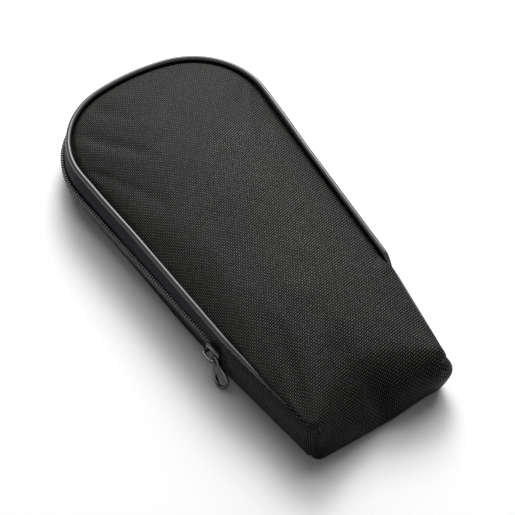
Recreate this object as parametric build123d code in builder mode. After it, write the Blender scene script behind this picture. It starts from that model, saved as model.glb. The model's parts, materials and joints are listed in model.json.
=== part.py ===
from build123d import *
import os
from math import asin, atan2, cos, degrees, hypot, radians, sin, sqrt

# Soft zip case for an ophthalmoscope, lying on its back.
# Millimetres. Z is up from the floor, Y points to the wide head, and the zip slider is on the -X side.
# The origin is on the back face, near the middle of the case.

# Plan of the seam line, which is the centre line of the piping
head_top = 111.7
head_arc_radius = 105.0
shoulder_radius = 40.0
half_width = 51.9
knee_y = -54.0
knee_half_width = 44.1
knee_round = 10.0
foot_y = -111.0
foot_half_width = 35.6

# Heights and the crown of the front
seam_height = 26.0
crown_radius = 336.0
foot_roll_radius = 7.0

# Layers of the padded cloth, and the wall between front and back
cloth = 1.0
foam = 3.0
lining = 0.6
gusset_cloth = 1.0
gusset_lining = 0.6
piping_radius = 1.5
piping_flange = 0.5
piping_end_y = -95.0
binding_width = 5.5
binding_thickness = 1.6
binding_slack = 0.1

# Coil zip
tape = 0.6
chain_height = 12.5
chain_gap = 1.3
coil_width = 2.4
coil_depth = 1.9
coil_round = 0.8
flat_tape_width = 3.75
head_bulge = 2.6

# The line where the front folds open, above the parked slider
fold_y = -38.0
fold_gap = 0.5
fold_axis_rise = 0.45

# Slider and pull tab
slider_y = -46.5
slider_length = 10.0
slider_corner = 1.6
slider_plate = 1.0
slider_inner_plate = 0.9
slider_flange = 0.85
slider_clearance = 0.3
post_length = 3.1
post_width = 0.7
post_from_nose = 0.4
nose_notch = 1.6
bridge_width = 1.8
bridge_thickness = 1.0
bridge_lip = 0.2
leg_radius = 0.8
leg_spread = 6.6
tab_thickness = 1.0
tab_gap = 0.3
tab_reach = 14.6
tab_width = 7.2
tab_corner = 3.3
tab_body_length = 9.4
tab_ring_radius = 2.2
tab_hang_angle = 51.0
eye_clearance = 0.1
eye_length = 3.0
slot_length = 6.6
slot_width = 3.4
slot_from_end = 1.6

# Places worked out from the sizes above
shoulder_x = half_width - shoulder_radius
shoulder_y = head_top - head_arc_radius + sqrt((head_arc_radius - shoulder_radius) ** 2 - shoulder_x**2)
crown_axis_height = seam_height - sqrt(crown_radius**2 - half_width**2)
back_stack = cloth + foam + lining
front_stack = cloth + foam + lining
coil_inner_edge = chain_gap / 2
coil_outer_edge = coil_inner_edge + coil_width
flat_tape_edge = coil_inner_edge + flat_tape_width
tape_top = seam_height - piping_radius
binding_top = seam_height - front_stack - binding_slack
beyond = 30.0


def side_line(bulge):
    """Direction and length of the right side, from the knee to where the shoulder arc starts."""
    to_centre_x = shoulder_x - knee_half_width
    to_centre_y = shoulder_y - knee_y
    distance = hypot(to_centre_x, to_centre_y)
    radius = shoulder_radius + bulge
    angle = atan2(to_centre_y, to_centre_x) - asin(radius / distance)
    return Vector(cos(angle), sin(angle)), sqrt(distance**2 - radius**2)


def local_half_width(y):
    """Half the width of the seam line at one place along the case."""
    direction, length = side_line(0)
    arc_angle = asin(shoulder_x / (head_arc_radius - shoulder_radius))
    arc_start_y = head_top - head_arc_radius * (1 - cos(arc_angle))
    if y < knee_y:
        foot_share = (knee_y - y) / (knee_y - foot_y)
        return knee_half_width - foot_share * (knee_half_width - foot_half_width)
    if y < knee_y + length * direction.Y:
        return knee_half_width + (y - knee_y) * direction.X / direction.Y
    if y < arc_start_y:
        return shoulder_x + sqrt(shoulder_radius**2 - (y - shoulder_y) ** 2)
    return sqrt(head_arc_radius**2 - (y - head_top + head_arc_radius) ** 2)


def crest(y):
    """Height of the front along its middle, so that its edge meets the seam line all the way round."""
    return crown_axis_height + hypot(seam_height - crown_axis_height, local_half_width(y))


def right_side(bulge):
    """Points of the right half of the head: arc start, arc middle, shoulder end and shoulder middle."""
    direction, length = side_line(bulge)
    knee = Vector(knee_half_width, knee_y)
    centre = Vector(shoulder_x, shoulder_y)
    touch = knee + direction * length
    upper_angle = atan2(shoulder_y - head_top + head_arc_radius, shoulder_x)
    lower_angle = atan2(touch.Y - shoulder_y, touch.X - shoulder_x)
    middle_angle = (upper_angle + lower_angle) / 2
    radius = shoulder_radius + bulge
    middle = centre + Vector(cos(middle_angle), sin(middle_angle)) * radius
    upper = centre + Vector(cos(upper_angle), sin(upper_angle)) * radius
    return touch, middle, upper


def mirrored(point):
    return Vector(-point.X, point.Y)


def head_run(y_left, y_right, bulge):
    """The seam line from one side, round the head, to the other side."""
    direction = side_line(bulge)[0]
    touch, middle, upper = right_side(bulge)
    knee = Vector(knee_half_width, knee_y)
    start = mirrored(knee + direction * ((y_left - knee_y) / direction.Y))
    end = knee + direction * ((y_right - knee_y) / direction.Y)
    with BuildLine() as run:
        Line(start, mirrored(touch))
        ThreePointArc(mirrored(touch), mirrored(middle), mirrored(upper))
        ThreePointArc(mirrored(upper), (0, head_top + bulge), upper)
        ThreePointArc(upper, middle, touch)
        Line(touch, end)
    return run.line


def foot_run(side, y_from, y_to):
    """The seam line beside the foot. side is -1 on the left, where it runs up, and 1 on the right, down."""
    low = (side * local_half_width(y_from), y_from)
    knee = (side * knee_half_width, knee_y)
    high = (side * local_half_width(y_to), y_to)
    corners = (low, knee, high) if side < 0 else (high, knee, low)
    with BuildLine() as run:
        FilletPolyline(*corners, radius=knee_round)
    return run.line


def chain_end_run(side):
    """The straight end of the chain beside the slider, from the knee to the fold."""
    direction = side_line(head_bulge)[0]
    along = Vector(side * direction.X, direction.Y)
    low = Vector(side * knee_half_width, knee_y)
    high = low + along * ((case_high - knee_y) / direction.Y)
    with BuildLine() as run:
        if side < 0:
            Line(low, high)
        else:
            Line(high, low)
    return run.line


def section_plane(run):
    """Upright plane at the start of a run: x is outwards and y is up."""
    along = run % 0
    return Plane(origin=run @ 0, x_dir=Vector(-along.Y, along.X), z_dir=along)


def plan(inset, y_from, y_to, bulge=0, with_foot=True):
    """The case seen from above, drawn in by inset and cut off at two places along it."""
    direction = side_line(bulge)[0]
    touch, middle, upper = right_side(bulge)
    knee = Vector(knee_half_width, knee_y)
    foot_slope = (knee_half_width - foot_half_width) / (knee_y - foot_y)
    foot = Vector(foot_half_width - beyond * foot_slope, foot_y - beyond)
    low = foot if with_foot else knee - direction * beyond
    with BuildSketch() as region:
        with BuildLine():
            ThreePointArc(mirrored(upper), (0, head_top + bulge), upper)
            ThreePointArc(upper, middle, touch)
            ThreePointArc(mirrored(upper), mirrored(middle), mirrored(touch))
            if with_foot:
                Polyline(touch, knee, low)
                Polyline(mirrored(touch), mirrored(knee), mirrored(low))
            else:
                Line(touch, low)
                Line(mirrored(touch), mirrored(low))
            Line(low, mirrored(low))
        make_face()
        if inset:
            offset(amount=-inset, kind=Kind.INTERSECTION)
        with Locations((0, (y_from + y_to) / 2)):
            Rectangle(2 * (half_width + beyond), y_to - y_from, mode=Mode.INTERSECT)
    return region.sketch


def under_front(depth):
    """Side view of the space under the front, a given depth below its outer face."""
    foot_face = foot_y - cloth + depth
    stations = [knee_y, 0.0, shoulder_y, head_top - 25, head_top - 12, head_top - 4, head_top]
    line_top = [(y, crest(y) - depth) for y in stations]
    foot_corner = (foot_face, crest(foot_y) - depth)
    past_head = (head_top + cloth, line_top[-1][1])
    with BuildSketch() as region:
        with BuildLine():
            Spline(*line_top)
            Line(line_top[-1], past_head)
            Line(past_head, (past_head[0], -beyond))
            Line((past_head[0], -beyond), (foot_face, -beyond))
            FilletPolyline((foot_face, -beyond), foot_corner, line_top[0], radius=foot_roll_radius - depth)
        make_face()
    return region.sketch


def front_space(depth):
    """The solid space under the front at a depth, crowned across by turning its side view."""
    crown_axis = Axis((0, 0, crown_axis_height), (0, 1, 0))
    reach = degrees(asin((half_width + piping_radius) / (crown_radius - depth)))
    with BuildPart() as space:
        with BuildSketch(Plane.YZ):
            add(under_front(depth))
        revolve(axis=crown_axis, revolution_arc=reach)
        mirror(about=Plane.YZ)
    return space.part


def front_layer(outer_depth, inner_depth, region, floor):
    """One layer of the padded front, over a region seen from above and above a floor."""
    with BuildPart() as layer:
        with BuildSketch(Plane.XY.offset(floor)):
            add(region)
        extrude(amount=seam_height + beyond)
        add(front_space(outer_depth), mode=Mode.INTERSECT)
        add(front_space(inner_depth), mode=Mode.SUBTRACT)
    return layer.part


def wall_between(low, high, bulge_low, bulge_high, y_from, y_to):
    """A band of zip tape between two heights, let out by its own bulge at each."""
    with BuildPart() as wall:
        for inset, mode in ((0, Mode.ADD), (tape, Mode.SUBTRACT)):
            with BuildSketch(Plane.XY.offset(low)):
                add(plan(inset, y_from, y_to, bulge_low, with_foot=False))
            with BuildSketch(Plane.XY.offset(high)):
                add(plan(inset, y_from, y_to, bulge_high, with_foot=False))
            loft(ruled=True, mode=mode)
    return wall.part


def upper_tape(y_from, y_to):
    flat_low = chain_height + coil_inner_edge
    flat_high = chain_height + flat_tape_edge
    with BuildPart() as band:
        add(wall_between(flat_low, flat_high, head_bulge, head_bulge, y_from, y_to))
        add(wall_between(flat_high, tape_top, head_bulge, 0, y_from, y_to))
    return band.part


def lower_tape_band(y_from, y_to):
    flat_low = chain_height - flat_tape_edge
    flat_high = chain_height - coil_inner_edge
    with BuildPart() as band:
        add(wall_between(flat_low, flat_high, head_bulge, head_bulge, y_from, y_to))
        add(wall_between(cloth, flat_low, 0, head_bulge, y_from, y_to))
    return band.part


def coil(run, middle_height):
    """One half of the chain, on the outer face of its tape."""
    with BuildPart() as half_chain:
        with BuildSketch(section_plane(run)):
            with Locations((coil_depth / 2, middle_height)):
                RectangleRounded(coil_depth, coil_width, coil_round)
        sweep(path=run)
    return half_chain.part


def piping(run):
    """Round welt with the flange that is sewn into the seam beside the panel."""
    with BuildPart() as welt:
        with BuildSketch(section_plane(run)):
            with Locations((0, seam_height)):
                Circle(piping_radius)
            with Locations((-piping_radius + piping_flange / 2, (seam_height + binding_top) / 2)):
                Rectangle(piping_flange, seam_height - binding_top)
        sweep(path=run)
    return welt.part


def binding_ring(low, y_from, y_to):
    """Tape bound over the raw edges inside a seam, level with the inner face of the gusset cloth."""
    with BuildPart() as bound:
        with BuildSketch(Plane.XY.offset(low)):
            add(plan(gusset_cloth, y_from, y_to))
            add(plan(gusset_cloth + binding_width, y_from, y_to), mode=Mode.SUBTRACT)
        extrude(amount=binding_thickness)
    return bound.part


def one_side(shape, side):
    """The solid of a mirrored pair that lies on one side of the case."""
    return shape.solids().sort_by(Axis.X)[0 if side < 0 else -1]


flap_low = fold_y + fold_gap / 2
case_high = fold_y - fold_gap / 2
head_end = head_top + beyond / 2
foot_end = foot_y - cloth
upper_middle = chain_height + coil_inner_edge + coil_width / 2
lower_middle = chain_height - coil_inner_edge - coil_width / 2

# Region of the panel: inside the piping, and out to the corner seams where the piping has ended
with BuildSketch() as foot_region:
    add(plan(piping_radius, piping_end_y, case_high))
    add(plan(0, foot_end, piping_end_y))
flap_region = plan(piping_radius, flap_low, head_end)
inner_foot_region = plan(piping_radius, foot_end, case_high)

# Padded front above the fold: the flap
with BuildPart() as front_panel_flap:
    add(front_layer(0, cloth, flap_region, 0))

with BuildPart() as front_foam_flap:
    add(front_layer(cloth, cloth + foam, flap_region, 0))

with BuildPart() as front_lining_flap:
    add(front_layer(cloth + foam, front_stack, flap_region, 0))

# Padded front below the fold, which rolls over the foot and down to the floor
with BuildPart() as front_panel_foot:
    add(front_layer(0, cloth, foot_region.sketch, 0))

with BuildPart() as front_foam_foot:
    add(front_layer(cloth, cloth + foam, inner_foot_region, back_stack))

with BuildPart() as front_lining_foot:
    add(front_layer(cloth + foam, front_stack, inner_foot_region, back_stack))

# Padded back
with BuildPart() as back_panel:
    with BuildSketch():
        add(plan(0, foot_y, head_end))
    extrude(amount=cloth)

with BuildPart() as back_foam:
    with BuildSketch(Plane.XY.offset(cloth)):
        add(plan(gusset_cloth, foot_y, head_end))
    extrude(amount=foam)

with BuildPart() as back_lining:
    with BuildSketch(Plane.XY.offset(cloth + foam)):
        add(plan(gusset_cloth, foot_y, head_end))
    extrude(amount=lining)

# Piping in three lengths: round the flap, and down each side of the foot
flap_run = head_run(flap_low, flap_low, 0)
left_run = foot_run(-1, piping_end_y, case_high)
right_run = foot_run(1, piping_end_y, case_high)

with BuildPart() as piping_flap:
    add(piping(flap_run))

with BuildPart() as piping_left:
    add(piping(left_run))

with BuildPart() as piping_right:
    add(piping(right_run))

# Cloth gussets beside the foot, under the piping
with BuildPart() as gussets:
    with BuildSketch(Plane.XY.offset(cloth)):
        add(plan(0, foot_y, knee_y))
        add(plan(gusset_cloth, foot_y, knee_y), mode=Mode.SUBTRACT)
    extrude(amount=seam_height)
    add(front_space(cloth), mode=Mode.INTERSECT)
    add(piping_left.part, mode=Mode.SUBTRACT)
    add(piping_right.part, mode=Mode.SUBTRACT)

with BuildPart() as left_gusset:
    add(one_side(gussets, -1))

with BuildPart() as right_gusset:
    add(one_side(gussets, 1))

gusset_lining_low = back_stack + binding_thickness
gusset_lining_high = binding_top - binding_thickness
foot_inside = foot_end + front_stack
with BuildPart() as gusset_linings:
    with BuildSketch(Plane.XY.offset(gusset_lining_low)):
        add(plan(gusset_cloth, foot_inside, knee_y))
        add(plan(gusset_cloth + gusset_lining, foot_inside, knee_y), mode=Mode.SUBTRACT)
    extrude(amount=gusset_lining_high - gusset_lining_low)

with BuildPart() as left_gusset_lining:
    add(one_side(gusset_linings, -1))

with BuildPart() as right_gusset_lining:
    add(one_side(gusset_linings, 1))

# Bindings over the raw edges inside
front_binding_low = binding_top - binding_thickness
with BuildPart() as front_binding_flap:
    add(binding_ring(front_binding_low, flap_low, head_end))

past_roll = foot_end + foot_roll_radius
front_binding_sides = binding_ring(front_binding_low, past_roll, case_high)
with BuildPart() as front_binding_left:
    add(one_side(front_binding_sides, -1))

with BuildPart() as front_binding_right:
    add(one_side(front_binding_sides, 1))

with BuildPart() as back_binding:
    add(binding_ring(back_stack, foot_inside, head_end))

# Zip tapes
with BuildPart() as upper_tape_flap:
    add(upper_tape(flap_low, head_end))

upper_tape_ends = upper_tape(knee_y, case_high)
with BuildPart() as upper_tape_left_end:
    add(one_side(upper_tape_ends, -1))

with BuildPart() as upper_tape_right_end:
    add(one_side(upper_tape_ends, 1))

with BuildPart() as lower_tape:
    add(lower_tape_band(knee_y, head_end))

# Zip chain
with BuildPart() as upper_coil_flap:
    add(coil(head_run(flap_low, flap_low, head_bulge), upper_middle))

with BuildPart() as lower_coil:
    add(coil(head_run(knee_y, knee_y, head_bulge), lower_middle))

with BuildPart() as upper_coil_left_end:
    add(coil(chain_end_run(-1), upper_middle))

with BuildPart() as upper_coil_right_end:
    add(coil(chain_end_run(1), upper_middle))

# Slider. Its own plane has x towards the nose, y up and z outwards, and lies on the tape's outer face
chain_direction = side_line(head_bulge)[0]
left_knee = Vector(-knee_half_width, knee_y)
chain_up = Vector(-chain_direction.X, chain_direction.Y)
chain_out = Vector(-chain_direction.Y, -chain_direction.X)
slider_place = left_knee + chain_up * ((slider_y - knee_y) / chain_direction.Y) + Vector(0, 0, chain_height)
slider_plane = Plane(origin=slider_place, x_dir=-chain_up, z_dir=chain_out)

channel_depth = coil_depth + slider_clearance
flange_inner = coil_outer_edge + slider_clearance
slider_width = 2 * (flange_inner + slider_flange)
plate_top = channel_depth + slider_plate
post_x = slider_length / 2 - nose_notch / 2 - post_from_nose - post_length / 2
with BuildPart() as slider_body:
    with BuildSketch(slider_plane.offset(channel_depth)):
        RectangleRounded(slider_length, slider_width, slider_corner)
        with Locations((slider_length / 2, 0)):
            Circle(nose_notch / 2, mode=Mode.SUBTRACT)
    extrude(amount=slider_plate)
    with BuildSketch(slider_plane.offset(-tape - slider_clearance)):
        RectangleRounded(slider_length, slider_width, slider_corner)
        with Locations((slider_length / 2, 0)):
            Circle(nose_notch / 2, mode=Mode.SUBTRACT)
    extrude(amount=-slider_inner_plate)
    with BuildSketch(slider_plane.offset(slider_clearance)):
        RectangleRounded(slider_length, slider_width, slider_corner)
        Rectangle(slider_length, 2 * flange_inner, mode=Mode.SUBTRACT)
    extrude(amount=coil_depth)
    with BuildSketch(slider_plane.offset(-tape - slider_clearance)):
        with Locations((post_x, 0)):
            SlotOverall(post_length, post_width)
    extrude(amount=channel_depth + tape + slider_clearance)

# Bridge over the outer plate. The tab's eye turns on its nose leg
bar_low = plate_top + tab_thickness + 2 * tab_gap
with BuildPart() as slider_bridge:
    with BuildSketch(slider_plane.offset(plate_top)):
        with Locations((-leg_spread / 2, 0), (leg_spread / 2, 0)):
            Circle(leg_radius)
    extrude(amount=bar_low - plate_top)
    with BuildSketch(slider_plane.offset(bar_low)):
        SlotOverall(leg_spread + 2 * (leg_radius + bridge_lip), bridge_width)
    extrude(amount=bridge_thickness)
    bar_face = slider_bridge.faces().sort_by(Axis(slider_place, chain_out))[-1]
    fillet(bar_face.edges(), bridge_thickness / 3)

# Pull tab, hanging beside the gusset with its tip just off the floor
nose_leg = slider_plane.from_local_coords((leg_spread / 2, 0, plate_top + tab_gap))
hang = radians(tab_hang_angle)
tab_plane = Plane(origin=nose_leg, x_dir=-chain_up * cos(hang) - Vector(0, 0, sin(hang)), z_dir=chain_out)
with BuildPart() as pull_tab:
    with BuildSketch(tab_plane):
        with Locations((tab_reach - tab_body_length / 2, 0)):
            RectangleRounded(tab_body_length, tab_width, tab_corner)
        Circle(tab_ring_radius)
        make_hull()
        with Locations((eye_length / 2, 0)):
            SlotCenterToCenter(eye_length, 2 * (leg_radius + eye_clearance), mode=Mode.SUBTRACT)
        with Locations((tab_reach - slot_from_end - slot_length / 2, 0)):
            SlotOverall(slot_length, slot_width, mode=Mode.SUBTRACT)
    extrude(amount=tab_thickness)

pieces = {
    "front_panel_flap": front_panel_flap,
    "front_panel_foot": front_panel_foot,
    "front_foam_flap": front_foam_flap,
    "front_foam_foot": front_foam_foot,
    "front_lining_flap": front_lining_flap,
    "front_lining_foot": front_lining_foot,
    "back_panel": back_panel,
    "back_foam": back_foam,
    "back_lining": back_lining,
    "piping_flap": piping_flap,
    "piping_left": piping_left,
    "piping_right": piping_right,
    "left_gusset": left_gusset,
    "right_gusset": right_gusset,
    "left_gusset_lining": left_gusset_lining,
    "right_gusset_lining": right_gusset_lining,
    "front_binding_flap": front_binding_flap,
    "front_binding_left": front_binding_left,
    "front_binding_right": front_binding_right,
    "back_binding": back_binding,
    "upper_tape_flap": upper_tape_flap,
    "upper_tape_left_end": upper_tape_left_end,
    "upper_tape_right_end": upper_tape_right_end,
    "lower_tape": lower_tape,
    "upper_coil_flap": upper_coil_flap,
    "upper_coil_left_end": upper_coil_left_end,
    "upper_coil_right_end": upper_coil_right_end,
    "lower_coil": lower_coil,
    "slider_body": slider_body,
    "slider_bridge": slider_bridge,
    "pull_tab": pull_tab,
}

os.makedirs("parts", exist_ok=True)
for name, piece in pieces.items():
    piece.part.label = name
    export_step(piece.part, f"parts/{name}.step")

print("fold axis at", fold_y, round(crest(fold_y) + fold_axis_rise, 3))
print("slide axis", chain_up.X, chain_up.Y)
print("tab pivot", tab_plane.origin, "axis", chain_out)
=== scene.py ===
# %% [markdown]
# # A soft zip case for an ophthalmoscope
# The case lies on its back on a white table. Its front is coarse black nylon over thin foam, edged with a
# glossy vinyl piping. A coil zip runs round the head, and plain cloth gussets close the sides beside the
# foot. This lesson dresses the CAD model of the case: every soft piece is rebuilt as cloth, and the metal
# is refined.

# %% Load the CAD model as a fixed frame
import json
from math import asin, atan2, cos, hypot, pi, radians, sin, sqrt

import bmesh
import bpy
import numpy as np
from mathutils import Matrix, Vector, geometry, noise

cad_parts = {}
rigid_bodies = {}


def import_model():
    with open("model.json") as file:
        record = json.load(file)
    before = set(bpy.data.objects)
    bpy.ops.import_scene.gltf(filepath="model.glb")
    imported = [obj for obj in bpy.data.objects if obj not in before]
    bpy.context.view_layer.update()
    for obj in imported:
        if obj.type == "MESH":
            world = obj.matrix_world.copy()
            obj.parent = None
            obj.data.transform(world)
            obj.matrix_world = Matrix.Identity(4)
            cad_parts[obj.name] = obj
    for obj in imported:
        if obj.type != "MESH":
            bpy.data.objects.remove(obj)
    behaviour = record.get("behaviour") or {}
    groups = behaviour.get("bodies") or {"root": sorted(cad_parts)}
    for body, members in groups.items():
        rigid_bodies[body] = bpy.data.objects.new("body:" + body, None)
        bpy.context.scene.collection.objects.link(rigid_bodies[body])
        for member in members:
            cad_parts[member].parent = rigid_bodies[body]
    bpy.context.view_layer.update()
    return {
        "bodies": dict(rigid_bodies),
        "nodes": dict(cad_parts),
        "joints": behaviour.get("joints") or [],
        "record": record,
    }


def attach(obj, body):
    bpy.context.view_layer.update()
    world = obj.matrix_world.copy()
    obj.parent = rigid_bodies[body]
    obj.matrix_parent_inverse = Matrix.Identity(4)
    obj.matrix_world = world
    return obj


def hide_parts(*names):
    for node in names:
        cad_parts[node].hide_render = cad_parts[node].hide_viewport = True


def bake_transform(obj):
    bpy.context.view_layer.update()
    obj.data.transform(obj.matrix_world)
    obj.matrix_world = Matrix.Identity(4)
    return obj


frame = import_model()

# %% [markdown]
# ## The camera
# A product photograph is made from some distance with a long lens, so that parallel sides stay nearly
# parallel. This camera stands at the foot's left corner, 77 cm away, and looks down at 53 degrees. Its
# place was worked out from the outline of the case, which is the same left and right.

# %% Camera
MM = 0.001
camera_place = Vector((-252.2, -407.5, 638.9)) * MM
camera_target = Vector((-6.8, -19.8, 26.0)) * MM


def put(name, data):
    """A new object of the scene."""
    thing = bpy.data.objects.new(name, data)
    bpy.context.scene.collection.objects.link(thing)
    return thing


def aim(thing, place, target):
    """Puts a camera or a lamp at a place, looking at a target."""
    thing.location = place
    thing.rotation_euler = (target - place).to_track_quat("-Z", "Y").to_euler()


lens = bpy.data.cameras.new("camera")
lens.sensor_width = 36
lens.lens = 115.76
lens.clip_start = 0.01
camera = put("camera", lens)
aim(camera, camera_place, camera_target)
bpy.context.scene.camera = camera
bpy.context.scene.view_settings.view_transform = "Standard"
print("camera", round((camera_target - camera_place).length, 3), "m from the case")

# %% [markdown]
# ## The light
# A large soft box hangs above the head, a little to the right, and a small bright one hangs in its far
# half. The large one gives the wide soft shadow at the lower left. The small one gives the shadow its
# darker core and the piping its narrow highlight. The table is white to the camera and in reflections, and
# a mid grey to the light that bounces, because in the photograph the walls of the case are much darker than
# its top.

# %% Lamps, world and table
def give(tree, node, inputs):
    """Fills a node's inputs with numbers, colours, sockets, or nodes, whose first output is then used."""
    for key, value in inputs.items():
        if isinstance(value, bpy.types.Node):
            value = value.outputs[0]
        if isinstance(value, bpy.types.NodeSocket):
            tree.links.new(value, node.inputs[key])
        else:
            node.inputs[key].default_value = value
    return node


def add(tree, kind, inputs=None, **settings):
    """Adds a node with its settings and links."""
    node = tree.nodes.new(kind)
    for key, value in settings.items():
        setattr(node, key, value)
    return give(tree, node, inputs or {})


def linear(code):
    """The linear colour of an sRGB hex code."""
    parts = [int(code[i:i + 2], 16) / 255 for i in (1, 3, 5)]
    return tuple(c / 12.92 if c <= 0.04045 else ((c + 0.055) / 1.055) ** 2.4 for c in parts) + (1.0,)


def background_ray(tree):
    """1 for the rays that may see the white background: from the camera, reflected or through glass."""
    path = add(tree, "ShaderNodeLightPath").outputs
    seen = add(tree, "ShaderNodeMath", {0: path["Is Camera Ray"], 1: path["Is Glossy Ray"]}, operation="ADD")
    through = path["Is Transmission Ray"]
    return add(tree, "ShaderNodeMath", {0: seen, 1: through}, operation="ADD", use_clamp=True)


for name, lamp_place, wide, deep, watts in (("soft_box", Vector((0.59, 0.70, 0.92)), 1.5, 1.35, 18.0),
                                            ("soft_box_core", Vector((0.60, 0.86, 0.90)), 0.5, 0.5, 8.0)):
    light = bpy.data.lights.new(name, "AREA")
    light.shape = "RECTANGLE"
    light.size = wide
    light.size_y = deep
    light.energy = watts
    aim(put(name, light), lamp_place, Vector((0, 0, 0.02)))

pure_white = (1, 1, 1, 1)
world = bpy.data.worlds.new("studio")
world.use_nodes = True
tree = world.node_tree
tree.nodes.clear()
dim = add(tree, "ShaderNodeBackground", {"Color": pure_white, "Strength": 0.07})
white = add(tree, "ShaderNodeBackground", {"Color": pure_white, "Strength": 1.0})
either = add(tree, "ShaderNodeMixShader", {0: background_ray(tree), 1: dim, 2: white})
add(tree, "ShaderNodeOutputWorld", {"Surface": either})
bpy.context.scene.world = world

bounced_grey, seen_white, seen_glow = (0.45, 0.45, 0.45, 1), (1.32, 1.32, 1.32, 1), 0.02
table_paper = bpy.data.materials.new("white_table_paper")
table_paper.use_nodes = True
tree = table_paper.node_tree
tree.nodes.clear()
tone = add(tree, "ShaderNodeMix", {0: background_ray(tree), 6: bounced_grey, 7: seen_white}, data_type="RGBA")
matt = add(tree, "ShaderNodeBsdfDiffuse", {"Color": tone.outputs[2]})
lift = add(tree, "ShaderNodeMath", {0: background_ray(tree), 1: seen_glow}, operation="MULTIPLY")
glow = add(tree, "ShaderNodeEmission", {"Color": pure_white, "Strength": lift})
both = add(tree, "ShaderNodeAddShader", {0: matt, 1: glow})
add(tree, "ShaderNodeOutputMaterial", {"Surface": both})

table_mesh = bpy.data.meshes.new("table")
table_mesh.from_pydata([(-3, -3, 0), (3, -3, 0), (3, 3, 0), (-3, 3, 0)], [], [(0, 1, 2, 3)])
table_mesh.materials.append(table_paper)
table = put("table", table_mesh)
print("lamps", [light.name for light in bpy.data.lights])

# %% [markdown]
# ## The sizes
# The sizes below are those of the CAD model, in millimetres, so that every cloth piece lies where its solid
# does.

# %% Sizes of the case
head_top, head_arc_radius, shoulder_radius = 111.7, 105.0, 40.0
half_width, knee_y, knee_half_width = 51.9, -54.0, 44.1
foot_y, foot_half_width = -111.0, 35.6
seam_height, crown_radius, chain_height = 26.0, 336.0, 12.5
cloth, foam, lining, tape = 1.0, 3.0, 0.6, 0.6
piping_radius, head_bulge = 1.5, 2.6
shoulder_x = half_width - shoulder_radius
shoulder_y = head_top - head_arc_radius + sqrt((head_arc_radius - shoulder_radius) ** 2 - shoulder_x**2)
crown_axis = seam_height - sqrt(crown_radius**2 - half_width**2)


def lengths_along(points):
    """How far along a line each of its points is."""
    return np.r_[0, np.cumsum(np.linalg.norm(np.diff(points, axis=0), axis=1))]


def resample(points, count):
    """A number of points spaced evenly along a line."""
    points = np.asarray(points, float)
    along = lengths_along(points)
    at = np.linspace(0, along[-1], count)
    return np.column_stack([np.interp(at, along, points[:, i]) for i in range(points.shape[1])])


def even(points, step):
    """A line's points spaced evenly, about a step apart."""
    return resample(points, max(2, round(lengths_along(points)[-1] / step) + 1))


def seam_line(bulge=0.0, low=foot_y, step=1.5):
    """Plan of the seam from the left side at y = low, round the head, to the right side.
    Arcs make the head and the shoulders, which the bulge lets out. The sides are straight runs, and a moving
    mean rounds where they meet."""
    upper = atan2(shoulder_y - head_top + head_arc_radius, shoulder_x)
    to_centre = np.array([shoulder_x - knee_half_width, shoulder_y - knee_y])
    heading = atan2(to_centre[1], to_centre[0]) - asin((shoulder_radius + bulge) / hypot(*to_centre))
    head_centre, shoulder_centre = (0, head_top - head_arc_radius), (shoulder_x, shoulder_y)
    head = [(a, head_centre, head_arc_radius + bulge) for a in np.linspace(pi / 2, upper, 40)]
    side = [(a, shoulder_centre, shoulder_radius + bulge) for a in np.linspace(upper, heading - pi / 2, 60)]
    arcs = [(c[0] + r * cos(a), c[1] + r * sin(a)) for a, c, r in head + side]
    slope = (knee_half_width - foot_half_width) / (knee_y - foot_y)
    past_foot = 20
    ends = [(knee_half_width, knee_y), (foot_half_width - past_foot * slope, foot_y - past_foot)]
    right = even(arcs + ends, 0.5)
    whole = np.vstack([right[:0:-1] * (-1, 1), right])
    window = 13
    rounding = np.ones(window) / window
    smooth = np.column_stack([np.convolve(whole[:, i], rounding, "same") for i in (0, 1)])
    smooth = smooth[window // 2:-(window // 2)]
    return even(smooth[smooth[:, 1] >= low - 0.4], step)


SEAM = seam_line()
RIGHT = SEAM[len(SEAM) // 2:]


def half_width_at(y):
    return np.interp(-np.asarray(y, float), -RIGHT[:, 1], RIGHT[:, 0])


def crest(y):
    return crown_axis + np.hypot(seam_height - crown_axis, half_width_at(y))


def top_height(x, y):
    """Height of the crowned front, which meets the seam line all the way round."""
    return crown_axis + np.sqrt((crest(y) - crown_axis) ** 2 - np.asarray(x, float) ** 2)


print("seam line", len(SEAM), "points, crest", round(float(crest(0.0)), 2))

# %% [markdown]
# ## Helpers for meshes
# A piece of cloth is drawn flat first, as a tailor cuts it, and triangulated with rings of points along its
# edge. Each point then goes to its place on the case. The flat place stays on the mesh as its UV map, in
# metres, so the weave follows the cloth round every bend.

# %% Helpers for flat cuts
def inset_line(line, distance):
    """The line moved inwards, to the right of its direction."""
    along = np.gradient(line, axis=0)
    along /= np.linalg.norm(along, axis=1)[:, None]
    return line + np.column_stack([along[:, 1], -along[:, 0]]) * np.reshape(distance, (-1, 1))


def inside(points, loop):
    """Whether each point is inside a closed outline."""
    hit = np.zeros(len(points), bool)
    for a, b in zip(loop, np.roll(loop, -1, axis=0)):
        crosses = (a[1] > points[:, 1]) != (b[1] > points[:, 1])
        with np.errstate(divide="ignore", invalid="ignore"):
            x = a[0] + (points[:, 1] - a[1]) * (b[0] - a[0]) / (b[1] - a[1])
        hit ^= crosses & (points[:, 0] < x)
    return hit


def distance_to(points, loop):
    """How far each point is from a closed outline."""
    best = np.full(len(points), 1e9)
    for a, b in zip(loop, np.roll(loop, -1, axis=0)):
        d = b - a
        t = np.clip(((points - a) @ d) / max(d @ d, 1e-12), 0, 1)
        best = np.minimum(best, np.hypot(*(points - a - t[:, None] * d).T))
    return best


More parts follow.
